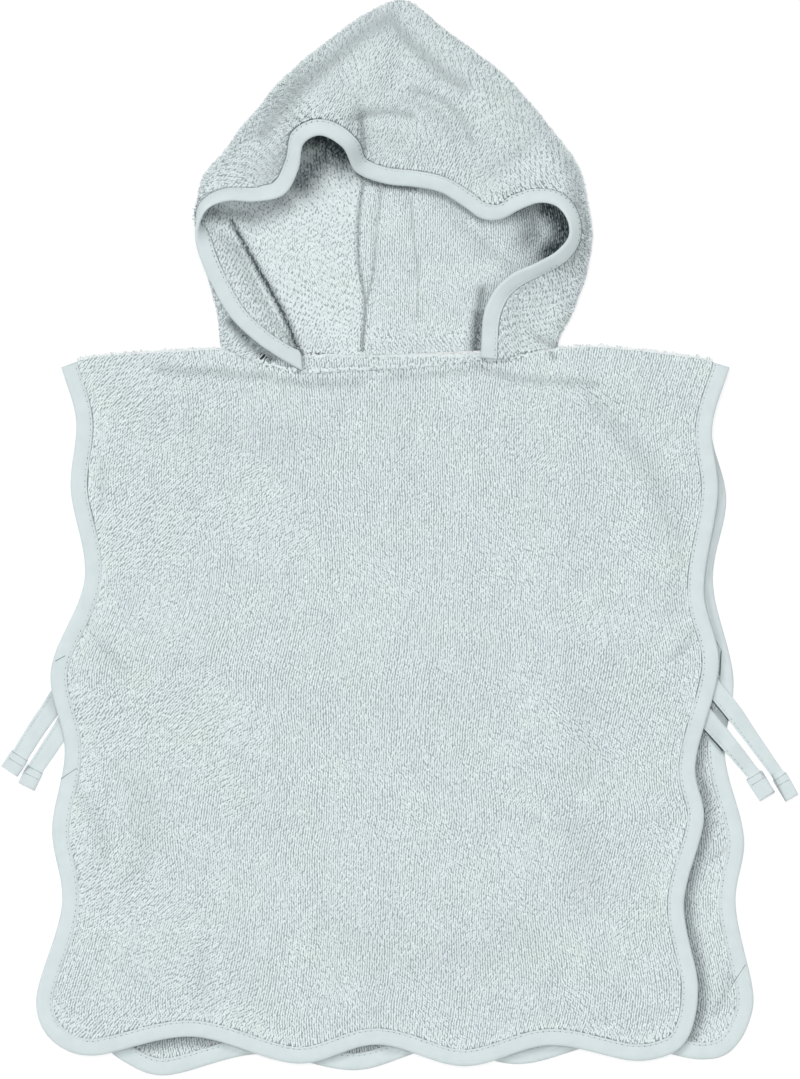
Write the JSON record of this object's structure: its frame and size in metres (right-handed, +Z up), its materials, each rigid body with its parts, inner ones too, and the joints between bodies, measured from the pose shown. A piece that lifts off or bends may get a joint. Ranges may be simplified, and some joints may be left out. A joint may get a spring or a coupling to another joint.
{
  "type": "hooded bath poncho",
  "caption": "Child's hooded terry bath poncho laid flat, front up, with waved bound edges, a pointed hood with a bound face opening, and narrow tape ties at both sides.",
  "frame": {"origin": "on the surface it lies on, under the middle of the whole garment's bounding box", "axes": "+X to the right as it lies with its front uppermost, +Y from the hem to the tip of the hood, +Z up"},
  "size_m": [0.5987, 0.806, 0.0354],
  "materials": {
    "terry": "looped cotton terry, pale grey-blue, matt",
    "cotton_tape": "plain-weave cotton tape, pale grey-blue, matt"
  },
  "bodies": {
    "root": {"back_panel": "terry", "back_binding": "cotton_tape", "front_panel": "terry", "front_binding": "cotton_tape", "hood": "terry", "hood_binding": "cotton_tape", "tie_front_left": "cotton_tape", "tie_back_left": "cotton_tape", "tie_front_right": "cotton_tape", "tie_back_right": "cotton_tape"}
  },
  "joints": []
}
